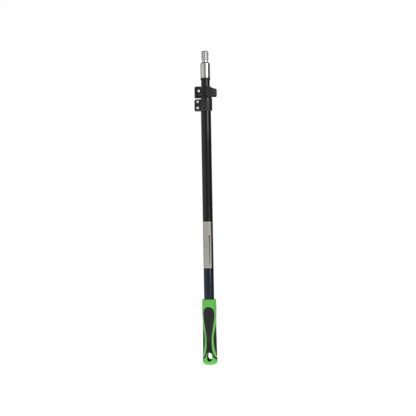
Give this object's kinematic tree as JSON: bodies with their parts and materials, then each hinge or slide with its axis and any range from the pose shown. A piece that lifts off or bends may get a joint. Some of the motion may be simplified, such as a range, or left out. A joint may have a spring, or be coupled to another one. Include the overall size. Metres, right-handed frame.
{
  "type": "telescopic extension pole",
  "caption": "Two-section telescopic extension pole with a threaded metal tip, a cam-lever clamp and a soft-inlaid grip with a hang hole.",
  "frame": {"origin": "centre of the small flat at the closed end of the grip, which the pole rests on when it stands in a corner", "axes": "+Z along the pole from the grip to the threaded tip; the clamp's lever and screw heads face -Y; the clamp's ears point to -X"},
  "size_m": [0.0565, 0.039, 0.7846],
  "materials": {
    "tip_steel": "turned zinc-plated steel",
    "ferrule_steel": "polished plated steel",
    "rivet_steel": "plated steel",
    "ring_plastic": "moulded black plastic",
    "inner_tube_black": "black anodised aluminium",
    "plug_plastic": "moulded black plastic",
    "guide_plastic": "natural acetal",
    "clamp_plastic": "glass-filled nylon",
    "liner_plastic": "dark acetal",
    "plate_steel": "stamped steel, blackened",
    "lever_plastic": "glass-filled nylon",
    "pin_steel": "turned steel, blackened",
    "fastener_steel": "zinc-plated steel",
    "outer_tube_black": "satin black coat",
    "grip_green": "moulded plastic",
    "grip_rubber": "soft ribbed rubber",
    "label_film": "silver-grey film",
    "sticker_film": "red film"
  },
  "bodies": {
    "outer_section": {"outer_tube": "outer_tube_black", "tube_end_plug": "plug_plastic", "clamp_body": "clamp_plastic", "clamp_liner": "liner_plastic", "wear_plate": "plate_steel", "band_screws": "fastener_steel", "band_nuts": "fastener_steel", "label": "label_film", "red_sticker": "sticker_film", "grip_core": "grip_green", "grip_front_inlay": "grip_rubber", "grip_back_inlay": "grip_rubber", "grip_left_inlay": "grip_rubber", "grip_right_inlay": "grip_rubber"},
    "guide": {"guide_ring": "guide_plastic"},
    "inner_section": {"inner_tube": "inner_tube_black", "inner_end_plug": "plug_plastic", "threaded_tip": "tip_steel", "tip_ferrule": "ferrule_steel", "ferrule_rivet": "rivet_steel", "tip_ring": "ring_plastic"},
    "bolt_set": {"tension_bolt": "fastener_steel", "barrel_pin": "pin_steel", "tension_washer": "fastener_steel", "tension_nut": "fastener_steel"},
    "lever": {"cam_lever": "lever_plastic"}
  },
  "joints": [
    {"name": "pole_extend", "type": "slide", "parent": "outer_section", "child": "guide", "axis": [0, 0, 1], "range_m": [-0.0165, 0.5]},
    {"name": "pole_twist", "type": "hinge", "parent": "guide", "child": "inner_section", "pos_m": [0, 0, 0.07], "axis": [0, 0, 1], "continuous": true},
    {"name": "bolt_travel", "type": "slide", "parent": "outer_section", "child": "bolt_set", "axis": [0, 1, 0], "range_m": [0, 0.0008]},
    {"name": "lever_swing", "type": "hinge", "parent": "bolt_set", "child": "lever", "pos_m": [-0.017, -0.01435, 0.682], "axis": [0, 0, -1], "range_deg": [0, 130]}
  ],
  "couplings": [
    {"joint": "lever_swing", "follows": "bolt_travel", "rad_per_m": 2836.1}
  ]
}
